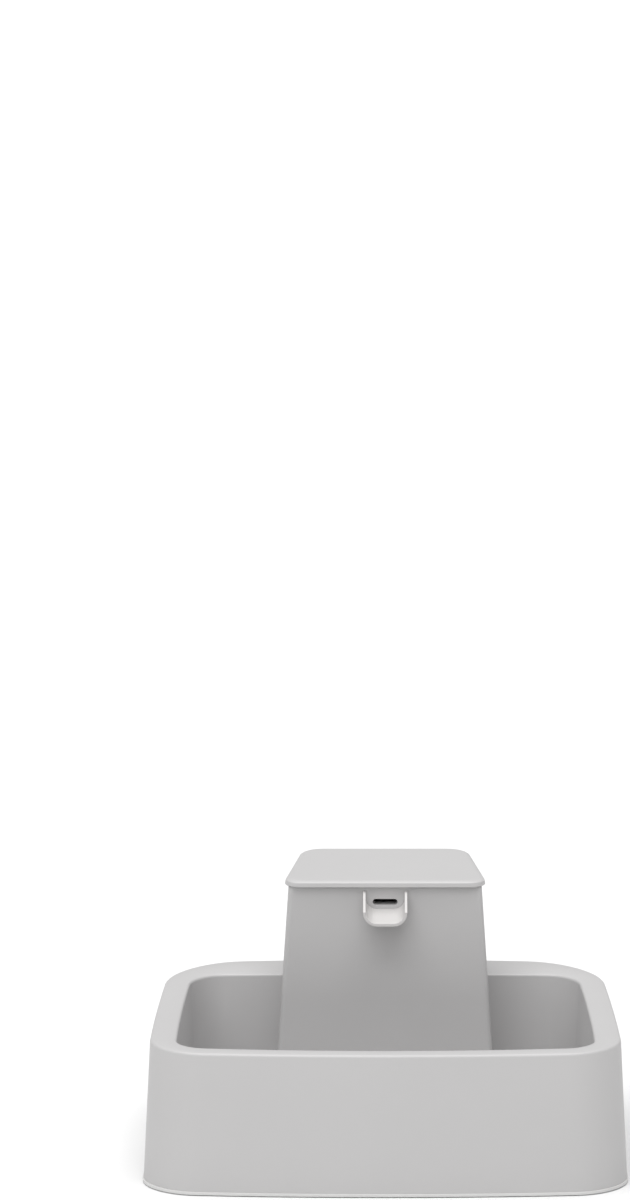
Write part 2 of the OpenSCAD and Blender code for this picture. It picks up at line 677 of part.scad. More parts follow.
module coil_windings() color("#a8602f") for (s = [-1, 1])
    translate([pump_left + 12.6, pump_y + s*(leg_in + leg_t/2), rotor_z]) rotate([90, 0, 90])
        linear_extrude(7) difference() {
            polygon(filleted([[-5.6, -8.4], [5.6, -8.4], [5.6, 8.4], [-5.6, 8.4]], [2]));
            square([leg_t + 0.4, 10.4], center = true);
        }

cups_at = [[pump_left + 15, -12.5], [pump_left + 15, 12.5], [cover_x - 8, 12.5]];

module suction_cups() color("#141414") for (p = cups_at)
    translate([p[0], pump_y + p[1], pump_bottom - cup_h]) rotate_extrude() polygon([[0, 1.4],
        [cup_d/2 - 3, 0.5], [cup_d/2, 0], [cup_d/2, 0.5], [cup_d/2 - 3, 1.6], [3.4, cup_h], [0, cup_h]]);

module lead_gland() color("#1a1a1a") translate([gland_x, gland_y, gland_z]) rotate([0, 90, 0]) {
    cylinder(h = 6, d1 = cord_d + 0.8, d2 = 6.6, $fn = 32);
    cylinder(h = 9.6, d = 5, $fn = 32);
}

// ---- foam ----

nipple_d = outlet_d - 2*turn_gap;
nipple_l = tray_z - bore_z - 2.6;
tray_leg_at = [[-27, -17], [27, -17], [-27, 17]];
tray_leg_l = 3.4;

module foam_block() color("#ece9dc") difference() {
    translate([0, pump_y, foam_z]) linear_extrude(foam_h) polygon(filleted(
        [[-foam_w/2, -foam_d/2], [foam_w/2, -foam_d/2], [foam_w/2, foam_d/2],
         [-foam_w/2, foam_d/2]], [8]));
    translate([pump_left - 0.5, pump_y - pump_d/2 - 0.5, foam_z - cut])
        cube([housing_l + cover_l + 1, pump_d + 1, pump_top + seat_gap - foam_z + cut]);
    translate([-foam_w/2 - cut, gland_y - 4.2, foam_z - cut])
        cube([foam_w/2, 8.4, gland_z + 4.2 - foam_z + cut]);
    translate([port_x, outlet_y, foam_z]) cylinder(h = foam_h + cut, d = nipple_d + 2);
    for (p = tray_leg_at) translate([p[0], col_y + p[1], foam_top_z - foam_top - cut])
        cylinder(h = foam_top + 2*cut, d = 4.4, $fn = 24);
}

// ---- filter ----

module filter_tray() color("#e9e9e8") translate([0, col_y, 0]) difference() {
    union() {
        translate([0, 0, tray_z]) rotate_extrude() polygon([[0, 0], [tray_d/2 - 1.8, 0],
            [tray_d/2 - 0.6, 1], [tray_d/2, tray_h - 2.6], [tray_d/2, tray_h],
            [tray_d/2 - thin, tray_h], [tray_d/2 - thin, thin], [0, thin]]);
        translate([port_x, outlet_y - col_y, tray_z - nipple_l])
            cylinder(h = nipple_l + thin/2, d = nipple_d);
        for (p = tray_leg_at) translate([p[0], p[1], tray_z - tray_leg_l])
            cylinder(h = tray_leg_l + thin/2, d = 2.6, $fn = 24);
    }
    translate([port_x, outlet_y - col_y, tray_z - nipple_l - cut])
        cylinder(h = nipple_l + 2*cut + thin, d = nipple_d - 2*thin);
}

cart_z = funnel_z + seat_gap;
flange_r = funnel_d/2 - thin - 2*seat_gap;
cart_r = cartridge_d/2;
media_h = 0.425*cartridge_h; // depth of the packed media under its screen

// The cartridge's bulging side, from the flange up to the neck under its bead
bulge = [for (a = [-22:12:62]) [cart_r + 0.4 - 4.6*(1 - 1.02*cos(a)),
    0.36*cartridge_h + 0.47*cartridge_h*sin(a)]];

module filter_cartridge() color("#eeeeed") translate([0, col_y, cart_z]) rotate_extrude()
    polygon(concat([[5, 0], [flange_r - 6, 0.4], [flange_r - 0.6, 2], [flange_r, 3],
            [flange_r - 0.4, 4.2], [cart_r + 0.6, 4.8]],
        bulge,
        [[cart_r - 3.4, cartridge_h - 4.2], [cart_r - 2.9, cartridge_h - 3.6],
         [cart_r - 3.2, cartridge_h - 1.6], [cart_r - 3.8, cartridge_h - 0.5],
         [cart_r - 4.6, cartridge_h], [cart_r - 5.4, cartridge_h],
         [cart_r - 5.4, cartridge_h - 4]],
        [for (i = [len(bulge) - 1:-1:0]) bulge[i] - [thin, 0]],
        [[cart_r - thin, 2.2], [5, 1.6]]));

module filter_media() color("#2e2e2e") translate([0, col_y, cart_z + 2.4])
    cylinder(h = media_h, r1 = cart_r - thin - 0.4, r2 = cart_r - 3);

module media_screen() color("#e6e6e4") translate([0, col_y, cart_z + media_h + 2.6]) difference() {
    cylinder(h = 1, r = cart_r - 3.4);
    for (r = [6, 12, 18], k = [0:r/3 + 3]) rotate([0, 0, k*360/(r/3 + 4)])
        translate([r, 0, -cut]) cylinder(h = 3, d = 2.4, $fn = 16);
}

neck_h = neck_z - funnel_z;
socket_h = socket_z - funnel_z;

function funnel_outer() = [[funnel_d/2, 0], [funnel_d/2, skirt_h], [shoulder_d/2, cone_h],
    [shoulder_d/2 - 0.8, cone_h + 1.2], [shoulder_d/2 - 2.4, cone_h + 2],
    [neck_d/2 + 1.2, neck_h - 0.4], [neck_d/2, neck_h + 0.6], [neck_d/2, socket_h],
    [socket_d/2 - 2.6, socket_h + 0.2], [socket_d/2 - 0.7, socket_h + 1.6], [socket_d/2, socket_h + 4],
    [socket_d/2, socket_top - funnel_z]];

module filter_funnel() color("#f1f1f1") translate([0, col_y, funnel_z]) difference() {
    rotate_extrude() polygon(concat([[0, 0]], funnel_outer(), [[0, socket_top - funnel_z]]));
    rotate_extrude() polygon([[0, -cut], [funnel_d/2 - thin, -cut], [funnel_d/2 - thin, skirt_h],
        [shoulder_d/2 - thin, cone_h], [shoulder_d/2 - thin - 1.4, cone_h + 0.9],
        [neck_d/2 - 2, neck_h - 1.6], [0, neck_h - 1.6]]);
    cylinder(h = socket_top - funnel_z + cut, d = neck_d - 4);
    translate([0, 0, socket_floor - funnel_z]) cylinder(h = collar_h + 2*cut, d = collar_d + 4*turn_gap);
}

// ---- riser ----

slant_from = 24; // where the branch turns down, from the riser's axis
slant_drop = 53.4;
leg_run = branch_z - slant_drop - leg_z; // the drop leg's upright part
function branch_path(end) = bent([[0, branch_z], [slant_from, branch_z],
    [leg_x, branch_z - slant_drop], [leg_x, end]], [0, 12, 22, 0]);
function slant_x(down) = slant_from + down*(leg_x - slant_from)/slant_drop;

// Snap clips over the seam: place across, distance below the branch's axis, and side
clips = [[-riser_d/2, 5, -1], [riser_d/2, 27, 1], [slant_x(14.3) + 8.6, 14.3, 1],
    [slant_x(48) - 8.6, 48, -1], [leg_x + branch_d/2, slant_drop + 0.2*leg_run, 1],
    [leg_x - branch_d/2, slant_drop + 0.56*leg_run, -1],
    [leg_x + branch_d/2, slant_drop + 0.89*leg_run, 1]];
clip_size = [2.4, 5.2, 6];
clip_slot = [1.2, 2.6, 4]; // the dark slot in a clip's front

module riser_filled() {
    translate([0, 0, riser_z]) cylinder(h = riser_l, d = riser_d);
    translate([0, 0, riser_z]) cylinder(h = collar_h, d = collar_d);
    swept(branch_path(leg_z), branch_d, 32);
}

module riser_bores() {
    translate([0, 0, riser_z - cut]) cylinder(h = riser_l + 2*cut, d = riser_bore);
    swept(branch_path(leg_z - cut), branch_bore, 32);
}

// One side of the seam, in front of it for -1 and behind it for 1
module seam_side(s) translate([-50, s < 0 ? -50 : 0, leg_z - 5]) cube([150, 50, 250]);

module riser_front() color("#c2bfbc") translate([0, col_y, 0]) difference() {
    union() {
        intersection() {
            riser_filled();
            seam_side(-1);
        }
        for (c = clips) translate([c[0] + c[2]*0.7, 0, branch_z - c[1]]) cube(clip_size, center = true);
        translate([13, -branch_d/2 - 1.4, branch_z - 4]) cube([16, 5, 2.2]);
    }
    for (c = clips) translate([c[0] + c[2]*0.9, -clip_size[1]/2, branch_z - c[1]])
        cube(clip_slot, center = true);
    riser_bores();
    intersection() {
        riser_filled();
        seam_side(1);
    }
}

module riser_rear() color("#bdbab7") translate([0, col_y, 0]) difference() {
    intersection() {
        riser_filled();
        seam_side(1);
    }
    riser_bores();
}

// ---- tower ----

function tower_front_y(z) = tower_front - front_lean*(tower_top - z)/tower_h;
function tower_rear_y(z) = tower_back + back_lean*(tower_top - z)/tower_h;
function tower_half(z) = (tower_top_w + (tower_foot_w - tower_top_w)*(tower_top - z)/tower_h)/2;
function tower_x(y, z) = tower_half(z) - side_taper*(y - tower_front_y(z));
function tower_inner_x(y, z) = tower_x(y, z) - tower_wall*sqrt(1 + side_taper*side_taper);

// The tower's outline at height z, moved in by inset
function tower_ring(z, inset, rounder = 0) = let (y0 = tower_front_y(z) + inset,
    y1 = tower_rear_y(z) - inset, i = inset*sqrt(1 + side_taper*side_taper),
    x0 = tower_x(y0, z) - i, x1 = tower_x(y1, z) - i,
    rf = max(1, tower_front_r - inset/2) + rounder, rb = max(2, tower_rear_r - inset/2) + rounder/2)
    at(filleted([[-x0, y0], [x0, y0], [x1, y1], [-x1, y1]], [rf, rf, rb, rb], 8), z);

module tower_body(inset, z0, z1) loft([tower_ring(z0, inset), tower_ring(z1, inset)]);

rear_cut_y = rear_y - cavity_draft - 0.7;
rim_gap_z = basin_h + seat_gap;
slot_z = tower_z + 6 + slot_h/2;
chamber_in = lip_w + ledge_w;
seal_d = riser_d + 6.4;
pin_y = (tower_front + tower_back)/2 - 4;
outlet_h = 4.4;
duct_wall = 2.4;
peg_x = 10; // the pegs that hold the spout to the tower
peg_z = outlet_z - 12;
peg_d = 3;
pin_x = tower_x(pin_y, tower_top) - lip_w - ledge_w/2;

module tower_shell() color("#bcbbb8") difference() {
    tower_body(0, tower_z, tower_top);
    difference() {
        tower_body(tower_wall, tower_z - cut, ledge_z - 2.2);
        tower_body(chamber_in - 2, deck_z, ledge_z);
        translate([-outlet_w/2 - duct_wall, tower_front - 20, outlet_z - outlet_h/2 - duct_wall])
            cube([outlet_w + 2*duct_wall, 40, ledge_z - outlet_z]);
    }
    tower_body(chamber_in, deck_z + deck_t, tower_top + cut);
    tower_body(lip_w, ledge_z, tower_top + cut);
    translate([-tower_foot_w, rear_cut_y, tower_z - cut])
        cube([2*tower_foot_w, 80, rim_gap_z - tower_z + cut]);
    for (k = [0:slot_count - 1])
        translate([(k - (slot_count - 1)/2)*slot_pitch, tower_front_y(slot_z), slot_z])
            slot_cut(slot_w, slot_h, 14);
    translate([0, tower_front_y(outlet_z), outlet_z]) slot_cut_wide(outlet_w, outlet_h, 40);
    translate([0, col_y, deck_z - cut]) cylinder(h = deck_t + 3*cut, d = seal_d + 0.1);
    for (s = [-1, 1]) translate([s*pin_x, pin_y, ledge_z - pin_l - 2])
        cylinder(h = pin_l + 2 + cut, d = pin_d + 2*seat_gap, $fn = 32);
    for (s = [-1, 1]) translate([s*peg_x, tower_front_y(peg_z), peg_z]) rotate([90, 0, 0])
        cylinder(h = 12, d = peg_d + 0.2, center = true, $fn = 32);
}

// Wide stadium through the front of the upper chamber
module slot_cut_wide(w, h, depth) rotate([90, 0, 0]) linear_extrude(depth, center = true) {
    square([w - h, h], center = true);
    for (s = [-1, 1]) translate([s*(w - h)/2, 0]) circle(d = h, $fn = 24);
}

spout_r = 10;
spout_root_w = 0.82*spout_w; // the underside's width at the tower
spout_top = tower_top - 2.6;
spout_floor = outlet_z - 4.2; // top of the trough's floor at the tower
mouth_z = tower_top - spout_drop;
root_drop = 5; // how far the spout's root reaches below its mouth

// Outline of the spout's section from its floor z0 to z1, in the XZ plane
function spout_section(w, z0, z1, r) = concat([[w/2, z1]], [[-w/2, z1]],
    arc([-w/2 + r, z0 + r], r, 180, 270, 6), arc([w/2 - r, z0 + r], r, 270, 360, 6));

module spout_slab(w, z0, z1, r, y, t) translate([0, y, 0]) rotate([90, 0, 0]) linear_extrude(t)
    polygon(spout_section(w, z0, z1, r));

module spout_scoop() color("#d2d1ce") difference() {
    union() {
        hull() {
            spout_slab(spout_root_w, mouth_z - root_drop, spout_top, spout_r, tower_front, 0.2);
            spout_slab(spout_w, spout_floor - 2, spout_top, spout_r, tower_front, 0.2);
            spout_slab(spout_w, mouth_z, mouth_z + 10.6, spout_r, tower_front - spout_out + 0.2, 0.2);
            spout_slab(spout_w, mouth_z + 1, spout_top - 1, spout_r, tower_front - 6, 0.2);
        }
        for (s = [-1, 1]) translate([s*peg_x, tower_front_y(peg_z), peg_z]) rotate([-90, 0, 0])
            cylinder(h = 3, d = peg_d, $fn = 32);
    }
    hull() {
        spout_slab(spout_w - 2*spout_wall, spout_floor, spout_top + 2, spout_r - spout_wall,
            tower_front + 3, 0.2);
        spout_slab(spout_w - 2*spout_wall, mouth_z + spout_wall, spout_top + 2, spout_r - spout_wall,
            tower_front - spout_out - cut, 0.2);
    }
    difference() {
        translate([-spout_w, tower_front - 30, mouth_z - 30]) cube([2*spout_w, 80, 80]);
        translate([0, -0.02, 0]) tower_front_half_space();
    }
}

// Everything in front of the tower's outer front face
module tower_front_half_space() rotate([90, 0, 90]) linear_extrude(200, center = true)
    polygon([[tower_front_y(tower_top + 20), tower_top + 20], [tower_front_y(tower_z), tower_z],
        [tower_front - 90, tower_z], [tower_front - 90, tower_top + 20]]);

module pipe_seal() color("#55565a") translate([0, col_y, deck_z]) rotate_extrude() polygon([
    [riser_d/2 + seat_gap, -0.8], [seal_d/2 + 1, -0.8], [seal_d/2 + 1, -0.05], [seal_d/2, -0.05],
    [seal_d/2, deck_t + 0.05], [seal_d/2 + 1, deck_t + 0.05], [seal_d/2 + 0.4, deck_t + 0.9],
    [riser_d/2 + seat_gap, deck_t + 0.9]]);

// ---- flow valve ----

washer_z = riser_top + 0.1;
washer_t = 0.8;
ring_z = washer_z + washer_t + 0.1;
ring_t = 2;
blade_r = riser_bore/2 - 0.2;

module valve_washer() color("#d9d9d6") translate([0, col_y, washer_z]) difference() {
    cylinder(h = washer_t, d = riser_d - 0.6);
    translate([0, 0, -cut]) cylinder(h = washer_t + 2*cut, d = riser_bore);
}

lever_w = 13;
ramp_x = 15;
ramp_r = 22;
ramp_a = acos(1 - lever_rise/ramp_r);

// Side view of the lever: a flat arm that sweeps up to its tip
function lever_profile() = concat([[9, 0]], arc([ramp_x, ramp_r], ramp_r, -90, -90 + ramp_a, 8),
    arc([ramp_x, ramp_r], ramp_r - ring_t, -90 + ramp_a, -90, 8), [[9, ring_t]]);

lever_wall = 1.5;
lever_low = -2.6; // underside of the lever's floor

// The web behind the ramp
function web_profile() = concat([[11, ring_t/2], [17, lever_low], [lever_l - 0.4, lever_low],
        [lever_l, lever_low + 0.6], [lever_l, lever_rise - 0.4]],
    arc([ramp_x, ramp_r], ramp_r - ring_t/2, -90 + ramp_a, -90, 8));

// The floor and the end wall that close the hollow under the ramp, which is open at the front
function floor_profile() = [[11, ring_t/2], [17, lever_low], [lever_l - 0.4, lever_low],
    [lever_l, lever_low + 0.6], [lever_l, lever_rise - 0.4], [lever_l - lever_wall, lever_rise - 1.4],
    [lever_l - lever_wall, lever_low + lever_wall], [17.8, lever_low + lever_wall], [14, ring_t/2]];

module flow_valve() color("#c4c3c0") translate([0, col_y, ring_z]) difference() {
    union() {
        cylinder(h = ring_t, d = valve_d);
        translate([0, lever_w/2, 0]) rotate([90, 0, 0]) linear_extrude(lever_w) polygon(lever_profile());
        translate([0, lever_w/2, 0]) rotate([90, 0, 0]) linear_extrude(lever_w) polygon(floor_profile());
        translate([0, lever_w/2, 0]) rotate([90, 0, 0]) linear_extrude(lever_wall) polygon(web_profile());
        intersection() {
            translate([0, 0, -blade_l]) cylinder(h = blade_l + ring_t/2, r = blade_r);
            translate([0, 10, 0]) rotate([90, 0, 0]) linear_extrude(20)
                polygon([[-10, ring_t], [-10, -1.2], [-blade_r, -2.4], [blade_r - 1.4, -blade_l],
                    [10, -blade_l], [10, ring_t]]);
        }
    }
    translate([0, 0, -blade_l - cut]) cylinder(h = blade_l + ring_t + 2*cut, d = valve_hole);
}

// ---- lid ----

module lid() color("#c3c2bf") {
    loft([for (s = [[0, lid_over - 0.5], [0.5, lid_over], [lid_t - 1.6, lid_over - 0.6],
                    [lid_t - 0.5, lid_over - 2.2], [lid_t, lid_over - 5]])
        [for (p = tower_ring(tower_top, -s[1], lid_round)) [p[0], p[1], lid_z + s[0]]]]);
    for (s = [-1, 1]) translate([s*pin_x, pin_y, ledge_z - pin_l])
        cylinder(h = lid_z + 0.5 - ledge_z + pin_l, d = pin_d, $fn = 32);
}

basin_tub();
base_plate();
rubber_feet();
base_screws();
cord_grommet();
wall_lead();
supply_cord();
cord_coil();
cord_tie();
plug_body();
plug_shell();
plug_tongue();
pump_housing();
resin_panel();
inlet_cover();
impeller();
rotor_magnet();
impeller_shaft();
shaft_bushes();
stator_core();
coil_windings();
suction_cups();
lead_gland();
pump_lead();
foam_block();
filter_tray();
filter_cartridge();
filter_media();
media_screen();
filter_funnel();
riser_front();
riser_rear();
tower_shell();
spout_scoop();
pipe_seal();
valve_washer();
flow_valve();
lid();
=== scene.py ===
import math

import bpy
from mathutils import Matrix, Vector, noise


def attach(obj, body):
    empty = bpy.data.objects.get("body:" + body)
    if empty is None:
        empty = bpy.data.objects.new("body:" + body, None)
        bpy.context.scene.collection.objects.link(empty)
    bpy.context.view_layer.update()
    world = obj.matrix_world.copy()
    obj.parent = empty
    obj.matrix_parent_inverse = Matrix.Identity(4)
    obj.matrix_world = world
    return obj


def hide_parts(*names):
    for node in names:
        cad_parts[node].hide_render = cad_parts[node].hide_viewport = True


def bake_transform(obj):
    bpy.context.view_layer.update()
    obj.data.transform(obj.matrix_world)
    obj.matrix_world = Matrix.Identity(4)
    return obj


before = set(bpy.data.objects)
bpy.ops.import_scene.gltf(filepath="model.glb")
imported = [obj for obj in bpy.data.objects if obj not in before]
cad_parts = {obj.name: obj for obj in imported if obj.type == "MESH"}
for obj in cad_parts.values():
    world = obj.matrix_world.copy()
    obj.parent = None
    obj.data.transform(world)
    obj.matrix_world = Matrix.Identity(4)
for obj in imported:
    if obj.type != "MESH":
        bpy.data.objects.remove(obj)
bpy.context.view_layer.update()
mm = 0.001
scene = bpy.context.scene
print("frame loaded:", len(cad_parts), "nodes")


# ---- camera, light and floor

cameraSetup = {
    "sensor": 36,  # mm
    "distance": 16.0,
    "elevation": 14.8,
    "frameHeight": 0.863,  # how much of the object's plane the long side takes in
    "target": (-50.7 * mm, 0.0, 409.2 * mm),
    "farthest": 80,  # past the floor's edge
}


def makeCamera(setup):
    data = bpy.data.cameras.new("camera")
    data.sensor_width = setup["sensor"]
    data.lens = setup["sensor"] * setup["distance"] / setup["frameHeight"]
    data.clip_end = setup["farthest"]
    camera = showObject("camera", data)
    rise = math.radians(setup["elevation"])
    back = Vector((0, -math.cos(rise), math.sin(rise)))
    camera.location = Vector(setup["target"]) + back * setup["distance"]
    camera.rotation_mode = "QUATERNION"
    camera.rotation_quaternion = (-back).to_track_quat("-Z", "Y")
    scene.camera = camera


lightSetup = {
    "sky": 0.46,
    "floorHalf": 40.0,
    "floorTone": 0.78,
    "floorRoughness": 0.9,
    "overhead": {"source": (-0.06, -0.13, 1.0), "spread": 60, "strength": 2.55},
    "front": {"source": (-0.22, -0.80, 0.74), "spread": 50, "strength": 0.7},
}


def makeLight(name, source, spread, strength):
    # a wide soft sun, so that the floor is as bright far away as under the object
    data = bpy.data.lights.new(name, "SUN")
    data.angle = math.radians(spread)
    data.energy = strength
    light = showObject(name, data)
    light.rotation_mode = "QUATERNION"
    light.rotation_quaternion = (-Vector(source)).to_track_quat("-Z", "Y")


def makeStudio(setup):
    world = bpy.data.worlds.new("studio")
    world.use_nodes = True
    background = world.node_tree.nodes["Background"]
    background.inputs["Color"].default_value = (1, 1, 1, 1)
    background.inputs["Strength"].default_value = setup["sky"]
    scene.world = world
    for name in ("overhead", "front"):
        makeLight(name + "Light", **setup[name])
    scene.view_settings.view_transform = "Standard"
    floorPaper, _, _, shader = newMaterial("floorPaper")
    tone = setup["floorTone"]
    shader.inputs["Base Color"].default_value = (tone, tone, tone, 1)
    shader.inputs["Roughness"].default_value = setup["floorRoughness"]
    edge = setup["floorHalf"]
    corners = [(-edge, -edge, 0), (edge, -edge, 0), (edge, edge, 0), (-edge, edge, 0)]
    newPiece("floor", corners, [(0, 1, 2, 3)], floorPaper)


# ---- what every piece uses


def paint(red, green, blue):
    # a colour picked on screen, 0 to 255, as the shader wants it
    def level(value):
        value /= 255
        return value / 12.92 if value <= 0.04045 else ((value + 0.055) / 1.055) ** 2.4

    return (level(red), level(green), level(blue), 1)


def newMaterial(name):
    material = bpy.data.materials.new(name)
    material.use_nodes = True
    tree = material.node_tree
    tree.nodes.clear()
    output = tree.nodes.new("ShaderNodeOutputMaterial")
    shader = tree.nodes.new("ShaderNodeBsdfPrincipled")
    tree.links.new(shader.outputs["BSDF"], output.inputs["Surface"])
    return material, tree.nodes, tree.links, shader


def showObject(name, data):
    piece = bpy.data.objects.new(name, data)
    scene.collection.objects.link(piece)
    return piece


def newPiece(name, points, faces, material):
    mesh = bpy.data.meshes.new(name)
    mesh.from_pydata(points, [], faces)
    mesh.update()
    mesh.materials.append(material)
    return showObject(name, mesh)


def finalMesh(piece, name):
    # the piece's mesh with its modifiers applied, as a mesh of its own
    bpy.context.view_layer.update()
    graph = bpy.context.evaluated_depsgraph_get()
    mesh = bpy.data.meshes.new_from_object(piece.evaluated_get(graph))
    mesh.name = name
    return mesh


makeCamera(cameraSetup)
makeStudio(lightSetup)
print("camera and studio made")


# ---- shader groups


def newGroup(name, takes, gives):
    tree = bpy.data.node_groups.new(name, "ShaderNodeTree")
    for label, kind, value in takes:
        socket = tree.interface.new_socket(label, in_out="INPUT", socket_type="NodeSocket" + kind)
        socket.default_value = value
    for label, kind in gives:
        tree.interface.new_socket(label, in_out="OUTPUT", socket_type="NodeSocket" + kind)
    entry = tree.nodes.new("NodeGroupInput")
    outcome = tree.nodes.new("NodeGroupOutput")
    return tree, entry, outcome


def mathNode(tree, operation, first, second=None):
    node = tree.nodes.new("ShaderNodeMath")
    node.operation = operation
    for k, value in enumerate((first, second)):
        if value is None:
            continue
        if isinstance(value, (int, float)):
            node.inputs[k].default_value = value
        else:
            tree.links.new(value, node.inputs[k])
    return node.outputs[0]


def noiseNode(tree, vector, scale, detail, roughness):
    node = tree.nodes.new("ShaderNodeTexNoise")
    tree.links.new(vector, node.inputs["Vector"])
    if isinstance(scale, (int, float)):
        node.inputs["Scale"].default_value = scale
    else:
        tree.links.new(scale, node.inputs["Scale"])
    node.inputs["Detail"].default_value = detail
    node.inputs["Roughness"].default_value = roughness
    return node.outputs["Fac"]


def mixNode(tree, factor, first, second):
    node = tree.nodes.new("ShaderNodeMix")
    node.data_type = "RGBA"
    tree.links.new(factor, node.inputs["Factor"])
    tree.links.new(first, node.inputs["A"])
    tree.links.new(second, node.inputs["B"])
    return node.outputs["Result"]


skinSetup = {
    "drift": {"detail": 3, "roughness": 0.55},
    "driftShare": 0.75,  # of the change in tone; the grain gives the rest
    "grain": {"detail": 2, "roughness": 0.6},
    "scuffs": {"scale": 60, "detail": 5, "roughness": 0.7},
    "scuffsMiddle": 0.5,
}


def makeMouldedSkin(setup):
    # fine spark-eroded grain with slow drifts of tone, as on an injection moulding
    takes = [
        ("Base", "Color", (0.5, 0.5, 0.5, 1)),
        ("Shade", "Color", (0.4, 0.4, 0.4, 1)),
        ("Drift Scale", "Float", 9.0),
        ("Grain Scale", "Float", 1500.0),
        ("Roughness", "Float", 0.5),
        ("Roughness Spread", "Float", 0.1),
    ]
    gives = [("Color", "Color"), ("Roughness", "Float"), ("Height", "Float")]
    tree, entry, outcome = newGroup("mouldedSkin", takes, gives)
    where = tree.nodes.new("ShaderNodeTexCoord").outputs["Object"]
    drift = noiseNode(tree, where, entry.outputs["Drift Scale"], **setup["drift"])
    grain = noiseNode(tree, where, entry.outputs["Grain Scale"], **setup["grain"])
    scuffs = noiseNode(tree, where, **setup["scuffs"])
    fromDrift = mathNode(tree, "MULTIPLY", drift, setup["driftShare"])
    fromGrain = mathNode(tree, "MULTIPLY", grain, 1 - setup["driftShare"])
    factor = mathNode(tree, "ADD", fromDrift, fromGrain)
    colour = mixNode(tree, factor, entry.outputs["Base"], entry.outputs["Shade"])
    tree.links.new(colour, outcome.inputs["Color"])
    swing = mathNode(tree, "SUBTRACT", scuffs, setup["scuffsMiddle"])
    swing = mathNode(tree, "MULTIPLY", swing, entry.outputs["Roughness Spread"])
    rough = mathNode(tree, "ADD", entry.outputs["Roughness"], swing)
    tree.links.new(rough, outcome.inputs["Roughness"])
    tree.links.new(grain, outcome.inputs["Height"])
    return tree


granuleSetup = {
    "patch": {"detail": 3, "roughness": 0.6},
    # the cells' share of the tone is painted shade, dark in the gaps between cells
    "cellShadeShare": 0.55,  # of the change in tone; the patches give the rest
}


def makeGranules(setup):
    # cells of mixed tone, from foam pores to carbon granules: each cell is darker towards its edge,
    # where it is lowest, which is painted shade in the gaps between cells; noise patches add random tone
    takes = [
        ("Light", "Color", (0.8, 0.8, 0.8, 1)),
        ("Dark", "Color", (0.5, 0.5, 0.5, 1)),
        ("Cell Scale", "Float", 700.0),
        ("Patch Scale", "Float", 60.0),
    ]
    gives = [("Color", "Color"), ("Height", "Float")]
    tree, entry, outcome = newGroup("granules", takes, gives)
    where = tree.nodes.new("ShaderNodeTexCoord").outputs["Object"]
    cells = tree.nodes.new("ShaderNodeTexVoronoi")
    tree.links.new(where, cells.inputs["Vector"])
    tree.links.new(entry.outputs["Cell Scale"], cells.inputs["Scale"])
    patch = noiseNode(tree, where, entry.outputs["Patch Scale"], **setup["patch"])
    depth = mathNode(tree, "SUBTRACT", 1.0, cells.outputs["Distance"])
    # high in each cell's middle and low at its edge: as tone it paints shade into the gaps
    shadeFromCells = mathNode(tree, "MULTIPLY", depth, setup["cellShadeShare"])
    fromPatch = mathNode(tree, "MULTIPLY", patch, 1 - setup["cellShadeShare"])
    factor = mathNode(tree, "ADD", shadeFromCells, fromPatch)
    colour = mixNode(tree, factor, entry.outputs["Dark"], entry.outputs["Light"])
    tree.links.new(colour, outcome.inputs["Color"])
    tree.links.new(depth, outcome.inputs["Height"])
    return tree


layerSetup = {
    "stain": {"scale": 300, "detail": 3, "roughness": 0.6},
    "lift": 0.4,  # how light a band stays where there is no stain
    "smoothest": 0.2,
    "dulled": 0.25,  # how much rougher a stain makes it
}


def makeLayers(setup):
    # even bands along one axis: sheets of a core, or turns of wire; each band is darker in its groove,
    # where it is lowest, which is painted shade between the turns of a winding and the dark joint
    # between a core's sheets
    takes = [
        ("Light", "Color", (0.6, 0.6, 0.6, 1)),
        ("Dark", "Color", (0.2, 0.2, 0.2, 1)),
        ("Axis", "Vector", (0, 0, 1)),
        ("Bands", "Float", 1000.0),
    ]
    gives = [("Color", "Color"), ("Roughness", "Float"), ("Height", "Float")]
    tree, entry, outcome = newGroup("layers", takes, gives)
    where = tree.nodes.new("ShaderNodeTexCoord").outputs["Object"]
    along = tree.nodes.new("ShaderNodeVectorMath")
    along.operation = "DOT_PRODUCT"
    tree.links.new(where, along.inputs[0])
    tree.links.new(entry.outputs["Axis"], along.inputs[1])
    turns = mathNode(tree, "MULTIPLY", along.outputs["Value"], entry.outputs["Bands"])
    wave = mathNode(tree, "SINE", mathNode(tree, "MULTIPLY", turns, 2 * math.pi))
    band = mathNode(tree, "ADD", mathNode(tree, "MULTIPLY", wave, 0.5), 0.5)
    stain = noiseNode(tree, where, **setup["stain"])
    # the tone follows the bands' height: painted shade in a winding's grooves, dark joints on a core
    factor = mathNode(tree, "MULTIPLY", band, mathNode(tree, "ADD", stain, setup["lift"]))
    colour = mixNode(tree, factor, entry.outputs["Dark"], entry.outputs["Light"])
    tree.links.new(colour, outcome.inputs["Color"])
    rough = mathNode(tree, "MULTIPLY", stain, setup["dulled"])
    rough = mathNode(tree, "ADD", rough, setup["smoothest"])
    tree.links.new(rough, outcome.inputs["Roughness"])
    tree.links.new(band, outcome.inputs["Height"])
    return tree


groups = {
    "skin": makeMouldedSkin(skinSetup),
    "granules": makeGranules(granuleSetup),
    "layers": makeLayers(layerSetup),
}
print("shader groups made")


# ---- materials

reliefDepth = {"skin": 0.2 * mm, "granules": 0.6 * mm, "layers": 0.2 * mm}


def setInputs(node, values):
    # a value's name is its socket's label, with _ for each space
    for label, value in values.items():
        node.inputs[label.replace("_", " ")].default_value = value


def addGroup(nodes, name, **values):
    node = nodes.new("ShaderNodeGroup")
    node.node_tree = groups[name]
    setInputs(node, values)
    return node


